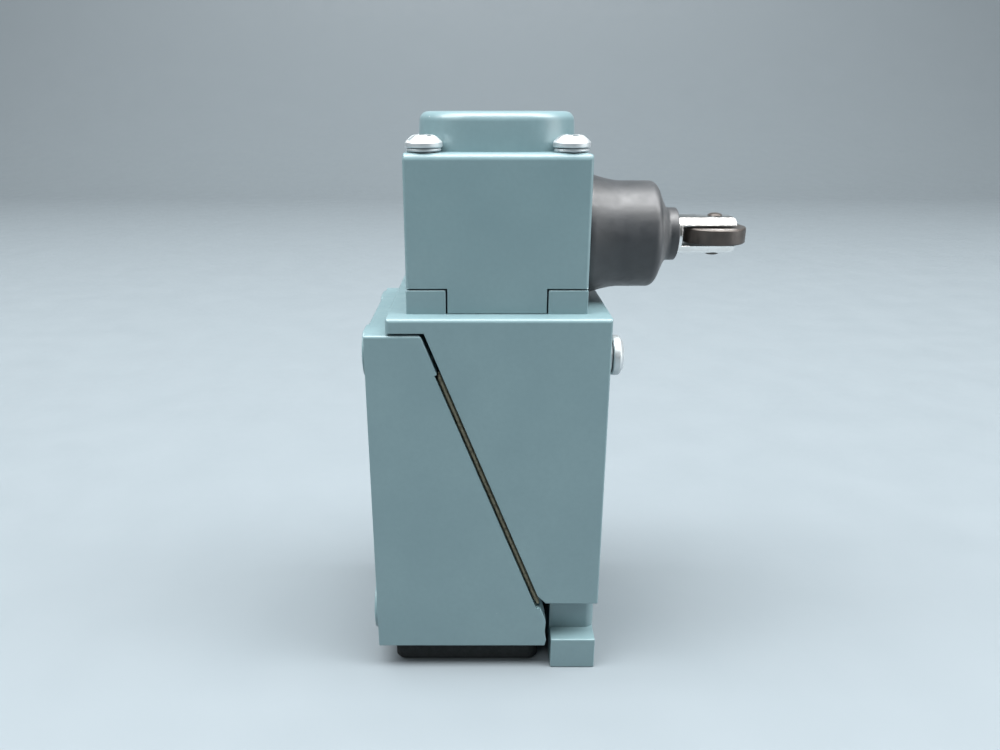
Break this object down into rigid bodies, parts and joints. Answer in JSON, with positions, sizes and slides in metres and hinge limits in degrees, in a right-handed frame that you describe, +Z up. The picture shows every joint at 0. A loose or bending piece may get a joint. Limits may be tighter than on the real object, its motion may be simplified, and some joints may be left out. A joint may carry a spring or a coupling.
{
  "type": "limit switch",
  "caption": "Plug-in limit switch: wedge-shaped mounting base, removable switch body and square head with a side-acting sprung roller plunger in a rubber boot.",
  "frame": {"origin": "centre of the mounting-hole pattern, on the plane of the mounting pads", "axes": "+X from the mounting face to the roller, +Y across the switch, +Z up from the conduit hub to the head"},
  "size_m": [0.0764, 0.042, 0.114],
  "materials": {
    "paint": "gloss enamel on die casting, grey-green",
    "zinc": "bright zinc plate",
    "bright_steel": "bright ground steel",
    "roller_steel": "dark oiled steel",
    "boot_rubber": "satin, with a grey bloom",
    "rubber": "matt",
    "gasket": "tan cork and rubber",
    "black_plastic": "moulded phenolic",
    "brown_plastic": "moulded phenolic",
    "brass": "stamped or turned brass",
    "silvered": "silver plated copper",
    "green_screw": "green dyed plate"
  },
  "bodies": {
    "housing": {"base_housing": "paint", "switch_body": "paint", "head_housing": "paint", "base_gasket": "gasket", "terminal_block": "brown_plastic", "contact_block": "black_plastic", "terminal_block_screws": "zinc", "terminal_strips": "brass", "terminal_screws": "zinc", "wire_clamps": "zinc", "ground_screw": "green_screw", "contact_block_screws": "zinc", "break_contacts": "silvered", "make_contacts": "silvered", "captive_screws": "zinc", "captive_washers": "zinc", "pin_seal": "rubber", "carrier_spring": "bright_steel", "head_gasket": "rubber", "head_screws": "zinc", "head_washers": "zinc", "plunger_bushing": "brass", "plunger_springs": "bright_steel", "boot": "boot_rubber", "pushrod_seal": "rubber"},
    "plunger_assembly": {"plunger": "bright_steel", "roller_pin": "roller_steel"},
    "roller_wheel": {"roller": "roller_steel"},
    "pushrod": {"head_pushrod": "bright_steel"},
    "carrier": {"operating_pin": "bright_steel", "contact_carrier": "brown_plastic", "contact_bridge": "silvered", "bridge_spring": "bright_steel"}
  },
  "joints": [
    {"name": "plunger_slide", "type": "slide", "parent": "housing", "child": "plunger_assembly", "axis": [-1, 0, 0], "range_m": [0, 0.005], "stiffness_N_per_m": 1500, "springref_m": -0.004, "deforming": ["plunger_springs", "boot"]},
    {"name": "roller_spin", "type": "hinge", "parent": "plunger_assembly", "child": "roller_wheel", "pos_m": [0.0701, 0, 0.0501], "axis": [0, 0, 1], "continuous": true},
    {"name": "pushrod_slide", "type": "slide", "parent": "housing", "child": "pushrod", "axis": [0, 0, -1], "range_m": [0, 0.0025]},
    {"name": "carrier_slide", "type": "slide", "parent": "housing", "child": "carrier", "axis": [0, 0, -1], "range_m": [0, 0.0025], "stiffness_N_per_m": 400, "springref_m": -0.002, "deforming": ["carrier_spring"]}
  ],
  "couplings": [
    {"joint": "pushrod_slide", "follows": "plunger_slide", "ratio": 0.5},
    {"joint": "carrier_slide", "follows": "plunger_slide", "ratio": 0.5}
  ]
}
